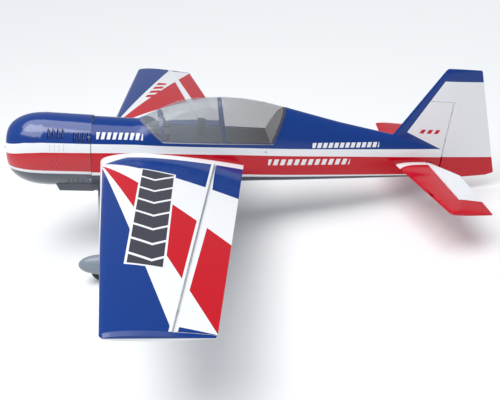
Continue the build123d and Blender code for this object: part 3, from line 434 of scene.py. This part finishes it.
# --- the CAD pieces -------------------------------------------------------------------------
SLOT_FINISH = {
    "cowl_paint": cowl_enamel,
    "grey_paint": grey_polyurethane,
    "canopy_glass": canopy_petg,
    "cockpit_grey": cockpit_abs,
    "rubber": tyre_rubber,
    "white_nylon": white_nylon,
    "steel": plated_steel,
    "cast_alloy": cast_aluminium,
    "plywood": birch_ply,
    "black_plastic": black_abs,
    "tank_plastic": tank_polyethylene,
}
NODE_FINISH = {
    "fuselage": FILM["fuselage"],
    "fin": FILM["fin"],
    "rudder": FILM["rudder"],
    "left_wing": FILM["wing"],
    "right_wing": FILM["wing"],
    "left_aileron": FILM["aileron"],
    "right_aileron": FILM["aileron"],
    "stabilizer": FILM["stabilizer"],
    "left_elevator": FILM["elevator"],
    "right_elevator": FILM["elevator"],
    "canopy_frame": canopy_enamel,
}
node_slot = {part["node"]: part["material_slot"] for part in frame["record"]["subparts"]}
body_nodes = frame["record"]["behaviour"]["bodies"]
node_body = {node: body for body, nodes in body_nodes.items() for node in nodes}


def only(piece):
    """Select one piece and nothing else, ready for an operator."""
    bpy.ops.object.select_all(action="DESELECT")
    piece.select_set(True)
    bpy.context.view_layer.objects.active = piece


def dress(piece, material):
    """Give a piece one material."""
    piece.data.materials.clear()
    piece.data.materials.append(material)


def skin(node, angle=28.0):
    """A smooth-shaded copy of a CAD node that stands in its place."""
    piece = frame["nodes"][node].copy()
    piece.data = piece.data.copy()
    for key in list(piece.keys()):
        del piece[key]
    piece.name = node + "_skin"
    piece.parent = None
    bpy.context.scene.collection.objects.link(piece)
    only(piece)
    bpy.ops.object.mode_set(mode="EDIT")
    bpy.ops.mesh.select_all(action="SELECT")
    bpy.ops.mesh.remove_doubles(threshold=2e-6)
    bpy.ops.object.mode_set(mode="OBJECT")
    bpy.ops.mesh.customdata_custom_splitnormals_clear()
    bpy.ops.object.shade_smooth_by_angle(angle=math.radians(angle))
    dress(piece, NODE_FINISH.get(node) or SLOT_FINISH[node_slot[node]])
    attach(piece, node_body[node])
    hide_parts(node)


# pieces that stay as their plain CAD nodes
PLAIN = (
    "fuselage_formers", "engine_box", "battery", "receiver",
    "wing_ribs", "wing_tube", "surface_hinges",
)
for node, cad_piece in frame["nodes"].items():
    dress(cad_piece, NODE_FINISH.get(node) or SLOT_FINISH[node_slot[node]])
for node in sorted(frame["nodes"]):
    if node not in PLAIN:
        skin(node)

# --- louvres, dimples and screws ------------------------------------------------------------
COWL_HALF_WIDTH = 94.0
COWL_HALF_HEIGHT = 116.5
COWL_TAPER = 4.0
COWL_SHOULDER = 100.0
COWL_SEAM = 243.0
COWL_MIDDLE = -4.0


def cowl_side(x, z, side):
    """A place on the cowl's side and the way its skin faces there."""
    tall = COWL_HALF_HEIGHT - COWL_TAPER * (x - COWL_SHOULDER) / (COWL_SEAM - COWL_SHOULDER)
    rise = (z - COWL_MIDDLE) / tall
    y = COWL_HALF_WIDTH * math.sqrt(1 - rise * rise)
    face = Vector((0.0, side * y / COWL_HALF_WIDTH**2, rise / tall)).normalized()
    return Vector((x, side * y, z)), face


def rounded_rod(name, radius, length):
    """A short rod with softened ends, upright at the origin, as a pattern to copy."""
    bpy.ops.object.select_all(action="DESELECT")
    bpy.ops.mesh.primitive_cylinder_add(vertices=14, radius=radius * MM, depth=length * MM)
    rod = bpy.context.object
    rod.name = name
    bpy.ops.object.mode_set(mode="EDIT")
    bpy.ops.mesh.select_all(action="DESELECT")
    bpy.ops.object.mode_set(mode="OBJECT")
    for polygon in rod.data.polygons:
        polygon.select = abs(polygon.normal.z) > 0.9
    bpy.ops.object.mode_set(mode="EDIT")
    bpy.ops.mesh.bevel(offset=radius * 0.6 * MM, segments=3)
    bpy.ops.object.mode_set(mode="OBJECT")
    bpy.ops.object.shade_smooth_by_angle(angle=math.radians(40))
    return rod


def place_copy(pattern, name, spot, face, size=(1.0, 1.0, 1.0)):
    """A copy of a pattern set on the skin: its X aft, its Y out along the skin's face."""
    aft = Vector((1.0, 0.0, 0.0))
    down = aft.cross(face)
    axes = Matrix((turned(*aft), turned(*face), turned(*down))).transposed().to_4x4()
    piece = pattern.copy()
    piece.data = pattern.data.copy()
    piece.name = name
    bpy.context.scene.collection.objects.link(piece)
    piece.data.transform(Matrix.Translation(parked(*spot)) @ axes @ Matrix.Diagonal((*size, 1.0)))
    return piece


def join(pieces, name):
    """Several pieces made one."""
    only(pieces[0])
    for piece in pieces[1:]:
        piece.select_set(True)
    bpy.ops.object.join()
    pieces[0].name = name
    return pieces[0]


LIP_RADIUS = 2.6
LIP_LENGTH = 25.0
rod_pattern = rounded_rod("louvre_pattern", LIP_RADIUS, LIP_LENGTH)
# each bank of four lips: where the first stands, the pitch, then the lips' width, thickness
# and length as shares of the pattern
BANKS = [
    (121.4, 74.0, 13.5, (0.9, 0.7, 1.0)),
    (195.4, 66.0, 13.5, (0.9, 0.7, 1.0)),
    (122.0, 37.0, 13.5, (0.7, 0.35, 0.8)),
    (170.0, -80.0, 14.0, (0.8, 0.6, 0.6)),
]
LIPS_PER_BANK = 4
DIMPLE_SHARE = (0.9, 0.35, 0.19)
DIMPLES = [
    (141, 8), (128, -3), (141, -4), (154, -3), (120, -13), (133, -14), (149, -14), (162, -12),
    (126, -26), (141, -27), (156, -26),
]
for side, hand in ((-1, "port"), (1, "starboard")):
    lips = []
    for first, z, pitch, share in BANKS:
        for k in range(LIPS_PER_BANK):
            spot, face = cowl_side(first + pitch * k, z, side)
            lips.append(place_copy(rod_pattern, "lip", spot, face, share))
    for x, z in DIMPLES:
        spot, face = cowl_side(x, z, side)
        lips.append(place_copy(rod_pattern, "dimple", spot, face, DIMPLE_SHARE))
    louvres = join(lips, f"{hand}_cowl_louvres")
    dress(louvres, cowl_enamel)
    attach(louvres, "airframe")

    # the screw that holds the hatch, through the fuselage side
    spot = Vector((777.0, side * 74.6, 38.0))
    face = Vector((0.0, side * 0.98, 0.09)).normalized()
    hatch_screw = place_copy(rod_pattern, f"{hand}_hatch_screw", spot, face, (0.75, 0.6, 0.16))
    dress(hatch_screw, plated_steel)
    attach(hatch_screw, "airframe")
bpy.data.objects.remove(rod_pattern)

# --- stage, lights and camera ---------------------------------------------------------------
bpy.ops.object.select_all(action="DESELECT")
bpy.ops.mesh.primitive_plane_add(size=60.0, location=(0.0, 0.0, 0.0))
floor = bpy.context.object
floor.name = "studio_floor"
floor_paper = finish("matt_paper_floor", colour("#f4f5f6"), Roughness=0.9, IOR=1.3)
dress(floor, floor_paper)

world = bpy.data.worlds.new("studio")
world.use_nodes = True
world.node_tree.nodes["Background"].inputs[0].default_value = colour("#eef2f8")
world.node_tree.nodes["Background"].inputs[1].default_value = 0.45
bpy.context.scene.world = world


def lamp(name, kind, place, aim, power, **settings):
    """A soft studio lamp at a place, facing an aim point."""
    data = bpy.data.lights.new(name, kind)
    data.energy = power
    for setting, value in settings.items():
        setattr(data, setting, value)
    holder = bpy.data.objects.new(name, data)
    holder.location = place
    holder.rotation_euler = (Vector(aim) - Vector(place)).to_track_quat("-Z", "Y").to_euler()
    bpy.context.scene.collection.objects.link(holder)


# a broad overhead light for the floor and wings, and a softbox over the nose for its sheen
lamp("overhead_diffuser", "SUN", (-0.6, -0.5, 4.0), (0.0, 0.0, 0.0), 1.75, angle=math.radians(50))
lamp("nose_softbox", "AREA", (-1.3, -1.0, 2.4), (-0.5, -0.2, 0.3), 26.0, shape="SQUARE", size=1.5)

# the camera stands high off the port side, level with the front of the wing
CAMERA_PLACE = (456.0, -1823.0, 786.0)
YAW, PITCH, ROLL = math.radians(9.25), math.radians(27.42), math.radians(5.34)
forward = Vector((math.sin(YAW) * math.cos(PITCH), math.cos(YAW) * math.cos(PITCH), -math.sin(PITCH)))
flat_right = Vector((math.cos(YAW), -math.sin(YAW), 0.0))
flat_up = flat_right.cross(forward)
right = flat_right * math.cos(ROLL) + flat_up * math.sin(ROLL)
upward = flat_up * math.cos(ROLL) - flat_right * math.sin(ROLL)
aim = Matrix((turned(*right), turned(*upward), turned(*(-forward)))).transposed().to_4x4()
camera_data = bpy.data.cameras.new("main_camera")
camera_data.sensor_width = 36.0
camera_data.lens = 44.064
camera_data.clip_end = 200.0
camera = bpy.data.objects.new("main_camera", camera_data)
camera.matrix_world = Matrix.Translation(parked(*CAMERA_PLACE)) @ aim
bpy.context.scene.collection.objects.link(camera)
bpy.context.scene.camera = camera

bpy.context.scene.view_settings.view_transform = "Standard"
